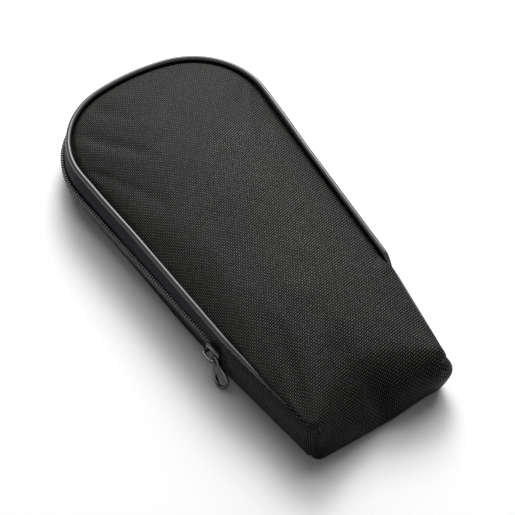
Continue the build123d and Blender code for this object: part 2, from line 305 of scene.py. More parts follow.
def cut_flat(loop, spacing, rings=(0.7, 1.5, 2.6, 4.0)):
    """Triangulates the inside of a closed flat outline, with rings of points near its edge."""
    loop = np.asarray(loop, float)
    count = len(loop)
    inner = [inset_line(np.vstack([loop[-1:], loop, loop[:1]]), d)[1:-1] for d in rings]
    low, high = loop.min(0), loop.max(0)
    columns, rows = [np.arange(low[i], high[i], spacing) for i in (0, 1)]
    grid = np.stack(np.meshgrid(columns, rows), -1).reshape(-1, 2)
    grid[:, 0] += (spacing / 2) * (np.round((grid[:, 1] - low[1]) / spacing) % 2)
    keep = inside(grid, inner[-1]) & (distance_to(grid, inner[-1]) > spacing * 0.6)
    points = np.vstack([loop, *inner, grid[keep]])
    edges = [(i, (i + 1) % count) for i in range(count)]
    found = geometry.delaunay_2d_cdt([Vector(p) for p in points], edges, [], 1, 1e-6)
    return np.array([tuple(v) for v in found[0]]), [tuple(f) for f in found[2]]


# %% Helpers for pieces
def piece_of(name, points, faces, flat=None, material=None):
    """A mesh object from points in millimetres. flat gives each point's UV, also in millimetres."""
    mesh = bpy.data.meshes.new(name)
    mesh.from_pydata([tuple(p) for p in np.asarray(points, float) * MM], [], faces)
    if flat is not None:
        corner = np.zeros(len(mesh.loops), int)
        mesh.loops.foreach_get("vertex_index", corner)
        layer = mesh.uv_layers.new(name="cloth")
        layer.data.foreach_set("uv", (np.asarray(flat, float)[corner] * MM).ravel())
    if material is not None:
        mesh.materials.append(material)
    mesh.shade_smooth()
    return put(name, mesh)


def bake(piece):
    """Turns what the modifiers make into the piece's own plain mesh."""
    graph = bpy.context.evaluated_depsgraph_get()
    made = piece.evaluated_get(graph)
    mesh = bpy.data.meshes.new_from_object(made, preserve_all_data_layers=True, depsgraph=graph)
    mesh.name = piece.name
    piece.modifiers.clear()
    piece.data = mesh
    return piece


def thicken(piece, millimetres, levels=0, group=""):
    """Gives a sheet its thickness inwards, less where a vertex group says so, and smooths it."""
    solid = piece.modifiers.new("thickness", "SOLIDIFY")
    solid.thickness = millimetres * MM
    solid.offset = -1
    solid.vertex_group = group
    if levels:
        smooth = piece.modifiers.new("smooth", "SUBSURF")
        smooth.levels = smooth.render_levels = levels
        smooth.use_limit_surface = False
    return bake(piece)


def foam_share(piece, shares):
    """Stores how much of the padding's thickness each point has."""
    group = piece.vertex_groups.new(name="foam")
    for i, share in enumerate(shares):
        group.add([i], float(share), "REPLACE")


def strip(rows, closed=False):
    """Faces that join rows of equally many points. closed joins each row's ends."""
    count = len(rows[0])
    wide = count if closed else count - 1
    faces = []
    for i in range(len(rows) - 1):
        for j in range(wide):
            k = (j + 1) % count
            faces.append((i * count + j, i * count + k, (i + 1) * count + k, (i + 1) * count + j))
    return faces


def capped(rings):
    """Faces of a tube of rings, closed at both ends."""
    count = len(rings[0])
    last = (len(rings) - 1) * count
    return strip(rings, closed=True) + [tuple(range(count - 1, -1, -1)), tuple(range(last, last + count))]


def tube(name, rings, material, flat=None):
    """A closed tube through rings of points."""
    return piece_of(name, np.reshape(rings, (-1, 3)), capped(rings), flat, material)


def at_height(line, z):
    """A plan line's points at one height, or at a height for each."""
    return np.column_stack([line, np.broadcast_to(z, len(line))])


def turned(faces):
    """The same faces, seen from their other side."""
    return [face[::-1] for face in faces]


def join(name, pieces):
    """One object of several, with its doubles merged and its faces turned outwards."""
    merged = bmesh.new()
    for piece in pieces:
        merged.from_mesh(piece.data)
        material = piece.data.materials[0]
        bpy.data.objects.remove(piece)
    bmesh.ops.remove_doubles(merged, verts=merged.verts, dist=0.004 * MM)
    bmesh.ops.recalc_face_normals(merged, faces=merged.faces)
    mesh = bpy.data.meshes.new(name)
    merged.to_mesh(mesh)
    merged.free()
    mesh.materials.append(material)
    mesh.shade_smooth()
    return put(name, mesh)


def smoothstep(t):
    """An even rise from 0 to 1."""
    t = np.clip(t, 0, 1)
    return t * t * (3 - 2 * t)


def squared(value, power):
    """A sine or cosine raised to a power below 1, which squares off the circle that it draws."""
    return np.sign(value) * abs(value) ** power


def angles_round(count):
    """Angles all the way round a circle."""
    return np.linspace(0, 2 * pi, count, endpoint=False)


print("a tube of 4 rings of 6 has", len(capped(np.zeros((4, 6, 3)))), "faces")

# %% [markdown]
# ## Woven nylon
# The front is ballistic nylon, a plain weave of thick filament yarns. Each yarn is a soft ridge. Where a
# warp yarn passes over a weft it catches the light, and between them the crossing stays dark. The
# photograph shows warps 0.79 mm apart along the case, and wefts 1.12 mm apart that lean a little. The
# pattern is worked out with sines of the flat cloth's own coordinates, so it bends with the cloth.

# %% Material: ballistic nylon
def new_material(name):
    """A material, its tree and its shader."""
    material = bpy.data.materials.new(name)
    material.use_nodes = True
    return material, material.node_tree, material.node_tree.nodes["Principled BSDF"]


def woven(name, base, light, across, along, height, drop=0.5, lean=0.0, turn=0.0, shine=0.3):
    """A plain weave. across and along are the yarn spacings in mm. drop is how much darker the weft's floats
    are than the warp's. The weft slants by lean, and by turn more for each metre up the cloth."""
    material, tree, shader = new_material(name)
    place = add(tree, "ShaderNodeUVMap", uv_map="cloth")
    wander = add(tree, "ShaderNodeTexNoise", {"Vector": place, "Scale": 130.0, "Detail": 2.0})
    centred = add(tree, "ShaderNodeVectorMath", {0: wander.outputs["Color"], 1: (0.5, 0.5, 0.5)},
                  operation="SUBTRACT")
    bent = add(tree, "ShaderNodeVectorMath", {0: centred, 1: (0.0009, 0.0009, 0), 2: place},
               operation="MULTIPLY_ADD")
    parts = add(tree, "ShaderNodeSeparateXYZ", {0: bent}).outputs
    slant = add(tree, "ShaderNodeMath", {0: parts[1], 1: -turn, 2: -lean}, operation="MULTIPLY_ADD")
    skew = add(tree, "ShaderNodeMath", {0: parts[1], 1: 0.36 * turn, 2: 0.06 * lean},
               operation="MULTIPLY_ADD")
    # each yarn is a half sine across its cell, and the cells are counted both ways
    ridges, cells = [], []
    for way, other, slope, spacing in ((0, 1, skew, across), (1, 0, slant, along)):
        line = add(tree, "ShaderNodeMath", {0: parts[other], 1: slope, 2: parts[way]},
                   operation="MULTIPLY_ADD")
        count = add(tree, "ShaderNodeMath", {0: line, 1: 1000 / spacing}, operation="MULTIPLY")
        part = add(tree, "ShaderNodeMath", {0: count}, operation="FRACT")
        angle = add(tree, "ShaderNodeMath", {0: part, 1: pi}, operation="MULTIPLY")
        ridges.append(add(tree, "ShaderNodeMath", {0: angle}, operation="SINE"))
        cells.append(add(tree, "ShaderNodeMath", {0: count}, operation="FLOOR"))
    # warp and weft take turns on top, as the squares of a chessboard do
    total = add(tree, "ShaderNodeMath", {0: cells[0], 1: cells[1]}, operation="ADD")
    over = add(tree, "ShaderNodeMath", {0: total, 1: 1.0}, operation="PINGPONG")
    floats = []
    for wide, long in (ridges, ridges[::-1]):
        swell = add(tree, "ShaderNodeMath", {0: long, 1: 0.7, 2: 0.3}, operation="MULTIPLY_ADD")
        floats.append(add(tree, "ShaderNodeMath", {0: wide, 1: swell}, operation="MULTIPLY"))
    relief = add(tree, "ShaderNodeMix", {0: over, 2: floats[0], 3: floats[1]}, data_type="FLOAT")
    gain = add(tree, "ShaderNodeMath", {0: over, 1: -drop, 2: 1.0}, operation="MULTIPLY_ADD")
    sharp = add(tree, "ShaderNodeMath", {0: relief, 1: 3.4}, operation="POWER")
    lit = add(tree, "ShaderNodeMath", {0: sharp, 1: gain}, operation="MULTIPLY")
    # wide patches differ a little in tone, and each float gets a painted glint, lighter or darker at random
    patches = add(tree, "ShaderNodeTexNoise", {"Vector": place, "Scale": 24.0, "Detail": 3.0})
    uneven = add(tree, "ShaderNodeMapRange", {0: patches, 1: 0.3, 2: 0.7, 3: 0.94, 4: 1.06})
    cell = add(tree, "ShaderNodeCombineXYZ", {0: cells[0], 1: cells[1]})
    chance = add(tree, "ShaderNodeTexWhiteNoise", {"Vector": cell})
    painted_glints = add(tree, "ShaderNodeMapRange", {0: chance.outputs["Value"], 3: 0.78, 4: 1.22})
    glints_and_patches = add(tree, "ShaderNodeMath", {0: painted_glints, 1: uneven}, operation="MULTIPLY")
    tone = add(tree, "ShaderNodeMath", {0: lit, 1: glints_and_patches}, operation="MULTIPLY")
    # The colour paints the light: a painted highlight on each float's top and painted shade in the crossings
    # between them.
    colour = add(tree, "ShaderNodeMix", {0: tone, 6: linear(base), 7: linear(light)}, data_type="RGBA",
                 clamp_factor=True)
    bump = add(tree, "ShaderNodeBump", {"Height": relief, "Distance": height * MM, "Strength": 1.0})
    gloss = add(tree, "ShaderNodeMapRange", {0: relief, 3: 0.60, 4: 0.40})
    glint = add(tree, "ShaderNodeMath", {0: tone, 1: shine, 2: 0.02}, operation="MULTIPLY_ADD")
    give(tree, shader, {"Base Color": colour.outputs[2], "Normal": bump, "Roughness": gloss,
                        "Specular IOR Level": glint})
    return material


# the gussets' nylon is a flatter weave of dull yarns, lighter in colour than the front's as painted light on
# walls that stand in shade, and taffeta a fine thin one
# grosgrain has cross ribs, and zip tape is fine, tight and a little blue
ballistic_nylon = woven("ballistic_nylon", "#030303", "#5f5f5a", across=0.786, along=1.12, height=0.05,
                        lean=0.31, turn=1.1, shine=0.40)
# The gussets' colours are lighter than the front's, which paints light onto the shaded walls.
wall_nylon_painted_light = woven("nylon_packcloth", "#070708", "#8a8a8f", across=0.82, along=1.08, height=0.08, lean=0.3)
taffeta = woven("lining_taffeta", "#141416", "#4c4c52", across=0.34, along=0.38, height=0.03, drop=0.3)
grosgrain = woven("binding_grosgrain", "#0e0e0f", "#4a4a4e", across=0.5, along=1.1, height=0.10, drop=0.7)
zip_webbing = woven("zip_tape_polyester", "#1d1e22", "#62636b", across=0.40, along=0.48, height=0.05,
                    drop=0.3, lean=0.2)
print("cloths", [m.name for m in (ballistic_nylon, wall_nylon_painted_light, taffeta, grosgrain, zip_webbing)])

# %% [markdown]
# ## The padded front
# The front is one cut of cloth over 3 mm of foam. It is crowned across, dips where the piping holds it
# down, and rolls softly over the foot end to the table. It is drawn flat, sent to its place, and then let
# swell by a short cloth simulation with its seams held, which gives it the uneven fullness of sewn padding.

# %% Front: the flat cut and its place
foot_face = foot_y - cloth
roll_places = [-35.6, -28, -20, -10, -2, 6, 13, 25, 35.6]
roll_radii = [4.5, 9, 16, 22.5, 24.5, 22.5, 18, 11.5, 7]
roll_shape = np.polyfit(roll_places, roll_radii, 5)


def covering(line):
    """How far the front's edge covers the piping, from 0 beside the head to 1 beside the foot.
    It rises slowly on the left side of the case and quickly on the right."""
    left, right = smoothstep((-50 - line[:, 1]) / 32), smoothstep((-49 - line[:, 1]) / 9)
    return np.where(line[:, 0] < 0, left, right)


def curl(v):
    """Radius of the front's turned-down sides, which are rounder at the foot."""
    return 2.4 + 2.6 * smoothstep((-106 - v) / 9)


def face_end(x):
    """Flat place of the lower edge, which reaches the table on the left and lifts a little on the right."""
    radius = np.polyval(roll_shape, x)
    lift = 0.6 + 2.0 * smoothstep((x - 6) / 24)
    return foot_face + radius * (2 - pi / 2) - (top_height(x, foot_face + radius) - lift)


def unrolled(x, v):
    """Place of a flat point: the crowned front, the roll over the foot, and the face below it."""
    radius = np.polyval(roll_shape, x)
    start = foot_face + radius
    turn = np.clip((start - v) / radius, 0, pi / 2)
    below = np.maximum(start - v - radius * pi / 2, 0)
    y = np.where(v > start, v, start - radius * np.sin(turn))
    z = top_height(x, np.maximum(v, start)) - radius * (1 - np.cos(turn)) - below
    y = y - (1.2 - 0.9 * smoothstep((x - 2) / 24)) * smoothstep(np.where(v > start, 0, 24 - z) / 18)
    return np.stack([x, y, z], -1)


def facing(surface, x, v):
    """The unit normals of a surface over the flat cloth."""
    n = np.cross(surface(x + 0.2, v) - surface(x - 0.2, v), surface(x, v + 0.2) - surface(x, v - 0.2))
    return n / np.linalg.norm(n, axis=1)[:, None]


def wrap(x, v):
    """The same place, with the cloth's sides turned down over the seam beside the foot."""
    radius = curl(v)
    over = np.maximum(np.abs(x) - half_width_at(np.maximum(v, foot_y)) + radius, 0)
    over = over * smoothstep((-40 - v) / 8)
    held = x - np.sign(x) * over
    turn = over / radius
    place = unrolled(held, v) - facing(unrolled, held, v) * (radius * (1 - np.cos(turn)))[:, None]
    place[:, 0] += np.sign(x) * radius * np.sin(turn)
    return place


def front_loop(inset, cover):
    """The flat outline, from the left foot corner up round the head and back along the table edge."""
    sides = inset_line(SEAM, inset - (inset + cover) * covering(SEAM))
    wide = abs(sides[0, 0])
    low = np.linspace(1, -1, 41) * wide
    lower = np.column_stack([low, face_end(np.clip(low, -foot_half_width, foot_half_width))])
    right = np.arange(sides[-1, 1] - 1.5, lower[0, 1] + 0.5, -1.5)
    left = np.arange(sides[0, 1] - 1.5, lower[-1, 1] + 0.5, -1.5)
    return np.vstack([sides, [(wide, v) for v in right], lower, [(-wide, v) for v in left[::-1]]])


front_outline = front_loop(1.0, 1.5)
front_flat, front_faces = cut_flat(front_outline, 2.4)
print("front cut", len(front_flat), "points,", np.ptp(front_flat, axis=0).round(1), "mm flat")

# %% Front: hollows and fullness
def rough(points, scale, seed):
    """Smooth unevenness over a flat cloth."""
    return np.array([noise.noise(Vector((p[0] * scale, p[1] * scale, seed))) for p in points])


def dent(points, x, y, wide, long, depth, turn=0.0):
    """A shallow hollow, wide across and long along its own direction."""
    dx, dy = points[:, 0] - x, points[:, 1] - y
    a = (dx * cos(turn) + dy * sin(turn)) / wide
    b = (-dx * sin(turn) + dy * cos(turn)) / long
    return depth * np.exp(-(a * a + b * b))


def puffed(places):
    """Lets out the foot's right corner, which stands fuller than the left one."""
    away = ((places - (37, -113, 12)) / (6, 7, 11)) ** 2
    places[:, 0] += 2.3 * np.exp(-away.sum(1))
    return places


to_edge = distance_to(front_flat, front_outline)
tuck = (1.9 - 1.6 * covering(front_flat)) * (1 - smoothstep(to_edge / 3.0))
fullness = 0.45 * smoothstep(to_edge / 10)
unevenness = 0.45 * rough(front_flat, 0.030, 3.0) + 0.22 * rough(front_flat, 0.09, 8.0)
# a low ridge runs down to the foot's left corner, and past it the cloth falls away a little
past_ridge = (front_flat - (-7.8, -79.9)) @ (0.760, -0.649)
facet = 0.09 * (past_ridge + np.hypot(past_ridge, 1.2)) * smoothstep((14 - past_ridge) / 14 + 0.4)
facet *= smoothstep((6 - front_flat[:, 0]) / 14) * smoothstep((-70 - front_flat[:, 1]) / 14)
pucker = dent(front_flat, x=1.0, y=-114, wide=4.0, long=9, depth=4.2, turn=0.12)
hollows = (pucker + facet) * smoothstep(to_edge / 9)
swells = (dent(front_flat, x=13, y=-113, wide=8, long=6, depth=1.2)
          + dent(front_flat, x=38, y=-121, wide=12, long=8, depth=2.8)
          + dent(front_flat, x=-24, y=-120, wide=14, long=9, depth=0.8))
push = fullness + unevenness * smoothstep(to_edge / 6) - tuck - hollows + swells
front_place = puffed(wrap(*front_flat.T) + facing(wrap, *front_flat.T) * push[:, None])
front_cover = piece_of("front_cover", front_place, front_faces, front_flat, ballistic_nylon)
foam_share(front_cover, 0.28 + 0.72 * smoothstep(to_edge / 6.0))
print("front pushed out by", push.min().round(2), "to", push.max().round(2), "mm")

# %% Front: swelling under its seams
def swell(piece, held, pressure, most):
    """Lets a sheet swell by a cloth simulation, its seams held. No point moves further than most, in mm."""
    trial = put("swelling", piece.data.copy())
    trial.vertex_groups.new(name="seam").add([int(i) for i in held], 1.0, "REPLACE")
    fabric = trial.modifiers.new("fabric", "CLOTH")
    fabric.settings.quality = 6
    fabric.settings.vertex_group_mass = "seam"
    fabric.settings.use_pressure = True
    fabric.settings.uniform_pressure_force = pressure
    fabric.settings.effector_weights.gravity = 0.0
    fabric.collision_settings.use_collision = False
    for number in range(1, 21):
        bpy.context.scene.frame_set(number)
    done = trial.evaluated_get(bpy.context.evaluated_depsgraph_get()).data
    moves = []
    for vertex, after in zip(piece.data.vertices, done.vertices):
        move = after.co - vertex.co
        if move.length > most * MM:
            move *= most * MM / move.length
        moves.append(Vector([round(c, 6) for c in move]))
    for vertex, move in zip(piece.data.vertices, moves):
        vertex.co += move
    bpy.data.objects.remove(trial)
    bpy.context.scene.frame_set(1)
    return max(m.length for m in moves) / MM


swelled = swell(front_cover, np.flatnonzero(to_edge < 1.2), pressure=4.0, most=1.6)
print("front swells by up to", round(swelled, 2), "mm")

# %% Front: thickness, lining and fold
thicken(front_cover, cloth + foam, levels=1, group="foam")
lining_outline = front_loop(1.7, -1.9)
lining_flat, lining_faces = cut_flat(lining_outline, 3.2, rings=(1.5, 3.5))
lining_place = unrolled(*lining_flat.T) - facing(unrolled, *lining_flat.T) * (cloth + foam + 0.4)
front_lining = piece_of("front_lining", lining_place, lining_faces, lining_flat, taffeta)
thicken(front_lining, lining, levels=1)
cover_nodes = ("front_panel_flap", "front_panel_foot", "front_foam_flap", "front_foam_foot")
lining_nodes = ("front_lining_flap", "front_lining_foot")
for piece, nodes, slot in ((front_cover, cover_nodes, "nylon_cloth"),
                           (front_lining, lining_nodes, "lining_cloth")):
    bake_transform(piece)
    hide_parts(*nodes)
print("front cover", len(front_cover.data.polygons), "faces")

# %% [markdown]
# ## The padded back
# The back lies flat on the table, so it is flat underneath. Only its edge can be seen from above.

# %% Back cover
ledge = 0.2 + 0.8 * smoothstep((SEAM[:, 1] + 50) / 40)
back_sides = inset_line(SEAM, -ledge)
back_end = back_sides[-1, 0]
back_foot = np.array([back_end - i * back_end / 35 for i in range(1, 70)])
lifted = 0.9 * smoothstep(back_foot / 25) + 2.2 * smoothstep((np.abs(back_foot) - 30) / 5) ** 2
back_loop = np.vstack([back_sides[2:-2], np.column_stack([back_foot, foot_y - 0.5 + lifted])])
back_flat, back_faces = cut_flat(back_loop, 3.6, rings=(0.5, 1.2, 2.4))
back_edge = distance_to(back_flat, back_loop)
back_rise = 0.9 * (1 - smoothstep(back_edge / 1.1))
back_place = puffed(at_height(back_flat, back_rise))
back_cover = piece_of("back_cover", back_place, turned(back_faces), back_flat, ballistic_nylon)
foam_share(back_cover, 0.45 + 0.55 * smoothstep(back_edge / 3.0))
thicken(back_cover, cloth + foam, levels=1, group="foam")
print("back cover", len(back_cover.data.polygons), "faces")

# %% Back lining
lining_inset, lining_height = 1.7, 4.65
inner_foot = [(foot_half_width - lining_inset - i, foot_y + 1.4) for i in range(1, 68)]
inner_loop = np.vstack([inset_line(SEAM, lining_inset), inner_foot])
inner_flat, inner_faces = cut_flat(inner_loop, 3.6, rings=(1.8,))
inner_place = at_height(inner_flat, lining_height)
back_lining = piece_of("back_lining_cloth", inner_place, inner_faces, inner_flat, taffeta)
thicken(back_lining, lining, levels=1)
for piece, nodes, slot in ((back_cover, ("back_panel", "back_foam"), "nylon_cloth"),
                           (back_lining, ("back_lining",), "lining_cloth")):
    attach(piece, "case")
    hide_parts(*nodes)
print("back lining", len(back_lining.data.polygons), "faces")

# %% [markdown]
# ## The piping
# The piping is a round cord wrapped in vinyl film. The film is stretched over the cord, so it is smooth and
# glossy, and it shows a narrow highlight along its whole length. It is modelled as a tube along the seam
# that thins and dives under the front's edge near the foot.

# %% Material: vinyl film
vinyl, tree, shader = new_material("calendered_vinyl_film")
place = add(tree, "ShaderNodeTexCoord").outputs["Object"]
grain = add(tree, "ShaderNodeTexNoise", {"Vector": place, "Scale": 900.0, "Detail": 3.0})
waves = add(tree, "ShaderNodeTexNoise", {"Vector": place, "Scale": 110.0, "Detail": 2.0})
relief = add(tree, "ShaderNodeMix", {0: 0.7, 2: grain, 3: waves}, data_type="FLOAT")
bump = add(tree, "ShaderNodeBump", {"Height": relief, "Distance": 0.05 * MM, "Strength": 0.5})
rub = add(tree, "ShaderNodeMapRange", {0: waves, 1: 0.35, 2: 0.65, 3: 0.14, 4: 0.21})
shade = add(tree, "ShaderNodeMix", {0: waves, 6: linear("#101011"), 7: linear("#1a1a1c")}, data_type="RGBA")
give(tree, shader, {"Base Color": shade.outputs[2], "Normal": bump, "Roughness": rub, "IOR": 1.53,
                    "Specular IOR Level": 0.45})

# %% Piping
pipe_line = seam_line(low=-93.0, step=1.5)
covered = covering(pipe_line)
let_out = smoothstep((pipe_line[:, 1] - 20) / 30) * smoothstep((95 - pipe_line[:, 1]) / 30)
centres = inset_line(pipe_line, 0.3 + 0.5 * covered - 0.5 * let_out)
outward = pipe_line - inset_line(pipe_line, 1.0)
pipe_rings = []
for centre, out, share in zip(centres, outward, covered):
    radius = piping_radius * (0.97 - 0.32 * share)
    height = seam_height + 0.3 - 3.3 * share
    pipe_rings.append([(centre[0] + out[0] * radius * cos(a), centre[1] + out[1] * radius * cos(a),
                        height + radius * sin(a)) for a in angles_round(16)])
piping = tube("piping", pipe_rings, vinyl)
smooth = piping.modifiers.new("smooth", "SUBSURF")
smooth.levels = smooth.render_levels = 1
bake(piping)
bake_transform(piping)
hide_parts("piping_flap", "piping_left", "piping_right")
print("piping", len(pipe_rings), "rings")

# %% [markdown]
# ## The wall
# Between front and back stands a wall: two bands of zip tape round the head, and a plain cloth gusset on
# each side of the foot. The wall is let out a little at the height of the zip, as it is on the real case.

# %% Zip tapes
def belly(z):
    """How far the wall is let out at a height, from 0 at the seams to 1 beside the chain."""
    return smoothstep((24.8 - z) / 8.0) * (0.7 + 0.3 * smoothstep((z - 1.0) / 7.0))


def wall_band(heights, tucks):
    """Rows of a tape's points, one row for each height. The tucks turn its hems in."""
    rows = []
    for z, tucked in zip(heights, tucks):
        line = seam_line(bulge=head_bulge * float(belly(z)), low=knee_y - 2, step=1.0)
        rows.append(at_height(inset_line(resample(line, 260), tucked), z))
    return rows


tape_heights = {"upper": [25.6, 24.8, 23.6, 22.0, 20.4, 18.8, 17.2, 15.6, 14.2, 13.2],
                "lower": [11.8, 10.6, 9.2, 7.6, 6.0, 4.6, 3.4, 2.4, 1.5, 0.9, 0.85]}
tape_tucks = {"upper": [1.2, 0.3, 0, 0, 0, 0, 0, 0, 0, 0],
              "lower": [0, 0, 0, 0, 0, 0, 0, 0, 0.15, 0.6, 1.9]}
tape_rows = {half: wall_band(heights, tape_tucks[half]) for half, heights in tape_heights.items()}
tape_lengths = lengths_along(tape_rows["upper"][0])
bands = {}
for half, rows in tape_rows.items():
    flat = np.array([(length, z) for z in tape_heights[half] for length in tape_lengths])
    band = piece_of(f"{half}_zip_tape", np.vstack(rows), strip(rows), flat, zip_webbing)
    bands[half] = thicken(band, tape, levels=1)
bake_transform(bands["upper"])
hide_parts("upper_tape_flap", "upper_tape_left_end", "upper_tape_right_end")
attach(bands["lower"], "case")
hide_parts("lower_tape")
print("zip tape", round(tape_lengths[-1], 1), "mm long")

# %% Gussets
gusset_heights = [25.2, 24.4, 23.0, 20.5, 18.0, 15.0, 12.0, 9.0, 6.5, 4.6, 3.4, 2.6, 2.2]
gusset_tucks = [1.6, 0.7, 0.3, 0, 0, 0, 0, 0, 0, 0.1, 0.4, 0.9, 1.6]
seam_slant = 0.35
for side, name in ((-1, "left"), (1, "right")):
    rows = []
    for z, tucked in zip(gusset_heights, gusset_tucks):
        run = resample(RIGHT[RIGHT[:, 1] < knee_y + 2.0 + (z - 12) * seam_slant], 60)
        belly_out = smoothstep((z - 2) / 6) * smoothstep((25.5 - z) / 8)
        along = smoothstep((knee_y + 6 - run[:, 1]) / 14) * smoothstep((run[:, 1] - foot_y - 1) / 14)
        corner = 3.0 * np.clip((-106.5 - run[:, 1]) / 4.5, 0, 1) ** 1.5
        line = inset_line(run, tucked + corner - 1.0 * belly_out * along) * (side, 1)
        dip = 1.6 * covering(run * (side, 1)) * smoothstep((z - 21) / 3)
        rows.append(at_height(line, z - dip))
    faces = strip(rows) if side < 0 else turned(strip(rows))
    flat = np.array([(i, z) for z in gusset_heights for i in np.linspace(0, 60, 60)])
    gusset = piece_of(f"{name}_gusset_cloth", puffed(np.vstack(rows)), faces, flat, wall_nylon_painted_light)
    thicken(gusset, cloth, levels=1)
    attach(gusset, "case")
    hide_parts(f"{name}_gusset")
    print(name, "gusset", len(gusset.data.polygons), "faces")

# %% [markdown]
# ## The zip chain
# A coil zip has no separate teeth: each half is one nylon monofilament wound into a flattened spiral, and
# the turns of the two halves hook into each other. One turn is modelled for each half, and Geometry Nodes
# set it along the chain, 1.5 mm apart. Drawn nylon is smooth, so every turn has its own small highlight.
# Inside each coil lies a matt filler cord, which holds the sewing and fills the gap between the chain and
# its tape. Its near-black colour also paints the shade in the gaps between the turns.

# %% Materials: nylon monofilament and polyester yarns
monofilament, tree, shader = new_material("nylon_monofilament")
place = add(tree, "ShaderNodeTexCoord").outputs["Object"]
draw = add(tree, "ShaderNodeTexNoise", {"Vector": place, "Scale": 700.0, "Detail": 2.0})
rub = add(tree, "ShaderNodeMapRange", {0: draw, 3: 0.16, 4: 0.28})
# The pale grey of the turns is partly the nylon's own colour and partly a painted sheen.
shade = add(tree, "ShaderNodeMix", {0: draw, 6: linear("#86868a"), 7: linear("#b0b0b4")}, data_type="RGBA")
give(tree, shader, {"Base Color": shade.outputs[2], "Roughness": rub, "IOR": 1.53, "Specular IOR Level": 0.9})


def yarn(name, dark, light, twist):
    """A twisted polyester yarn: fine slanting plies, twist in mm, and no shine."""
    material, tree, shader = new_material(name)
    place = add(tree, "ShaderNodeTexCoord").outputs["Object"]
    plies = add(tree, "ShaderNodeTexWave", {"Vector": place, "Scale": 1000 / twist / 3.1, "Distortion": 2.0},
                bands_direction="DIAGONAL")
    shade = add(tree, "ShaderNodeMix", {0: plies, 6: linear(dark), 7: linear(light)}, data_type="RGBA")
    bump = add(tree, "ShaderNodeBump", {"Height": plies, "Distance": 0.04 * MM, "Strength": 1.0})
    give(tree, shader, {"Base Color": shade.outputs[2], "Normal": bump, "Roughness": 0.8,
                        "Specular IOR Level": 0.08})
    return material


# The cord's near-black is partly its own colour and partly painted shade in the gaps between the turns.
cord_and_gap_shade = yarn("polyester_filler_cord", "#050506", "#0c0c0e", 0.5)
thread = yarn("polyester_sewing_thread", "#1c1c1f", "#3c3c40", 0.3)
print("yarns", cord_and_gap_shade.name, thread.name)

# %% Setting a shape along a path
def repeat_tree():
    """Geometry Nodes that set a shape along a path of edges, each copy level and along the path."""
    tree = bpy.data.node_groups.new("set_along_path", "GeometryNodeTree")
    tree.is_modifier = True
    for name, kind in (("Path", "Geometry"), ("Shape", "Object"), ("Spacing", "Float"),
                       ("Unevenness", "Float"), ("Finish", "Material")):
        tree.interface.new_socket(name, in_out="INPUT", socket_type=f"NodeSocket{kind}")
    tree.interface.new_socket("Pieces", in_out="OUTPUT", socket_type="NodeSocketGeometry")
    given = add(tree, "NodeGroupInput").outputs
    curve = add(tree, "GeometryNodeMeshToCurve", {0: given["Path"]})
    spaced = add(tree, "GeometryNodeResampleCurve", {"Curve": curve, "Length": given["Spacing"]},
                 mode="LENGTH")
    tangent = add(tree, "GeometryNodeInputTangent")
    along = add(tree, "FunctionNodeAlignRotationToVector", {"Vector": tangent}, axis="X")
    level = add(tree, "FunctionNodeAlignRotationToVector", {"Rotation": along, "Vector": (0, 0, 1)}, axis="Z",
                pivot_axis="X")
    shape = add(tree, "GeometryNodeObjectInfo", {"Object": given["Shape"]}, transform_space="ORIGINAL")
    most = add(tree, "ShaderNodeMath", {0: given["Unevenness"], 1: 1.0}, operation="ADD")
    least = add(tree, "ShaderNodeMath", {0: 1.0, 1: given["Unevenness"]}, operation="SUBTRACT")
    size = add(tree, "FunctionNodeRandomValue", {2: least, 3: most, "Seed": 11}, data_type="FLOAT")
    placing = {"Points": spaced, "Instance": shape.outputs["Geometry"], "Rotation": level,
               "Scale": size.outputs[1]}
    copies = add(tree, "GeometryNodeInstanceOnPoints", placing)
    real = add(tree, "GeometryNodeRealizeInstances", {0: copies})
    finish = add(tree, "GeometryNodeSetMaterial", {"Geometry": real, "Material": given["Finish"]})
    add(tree, "NodeGroupOutput", {0: finish})
    return tree


along_path = repeat_tree()
path_inputs = {s.name: s.identifier for s in along_path.interface.items_tree if s.in_out == "INPUT"}


def set_along(name, path, shape, spacing, finish, unevenness):
    """One mesh of copies of a shape along a path of points in millimetres."""
    mesh = bpy.data.meshes.new(name)
    mesh.from_pydata([tuple(p) for p in path * MM], [(i, i + 1) for i in range(len(path) - 1)], [])
    piece = put(name, mesh)
    modifier = piece.modifiers.new("copies", "NODES")
    modifier.node_group = along_path
    values = {"Shape": shape, "Spacing": spacing * MM, "Unevenness": unevenness, "Finish": finish}
    for key, value in values.items():
        modifier[path_inputs[key]] = value
    bake(piece)
    piece.data.shade_smooth()
    return piece


def motif(name, points, faces):
    """A shape to be copied. It is not itself part of the object."""
    shape = piece_of(name, points, faces)
    bpy.context.scene.collection.objects.unlink(shape)
    return shape


def tube_ring(centres, radius, sides):
    """Points and faces of a closed loop of tube. The loop's own normal is along x."""
    centres = np.asarray(centres, float)
    ahead = np.roll(centres, -1, axis=0) - np.roll(centres, 1, axis=0)
    ahead /= np.linalg.norm(ahead, axis=1)[:, None]
    out = np.cross(ahead, (1.0, 0, 0))
    out /= np.linalg.norm(out, axis=1)[:, None]
    over = np.cross(ahead, out)
    rows = []
    for c, o, u in zip(centres, out, over):
        rows.append([c + radius * (o * cos(a) + u * sin(a)) for a in angles_round(sides)])
    last = (len(rows) - 1) * sides
    closing = [(last + j, last + (j + 1) % sides, (j + 1) % sides, j) for j in range(sides)]
    return np.reshape(rows, (-1, 3)), strip(rows, closed=True) + closing


print("path inputs", list(path_inputs))

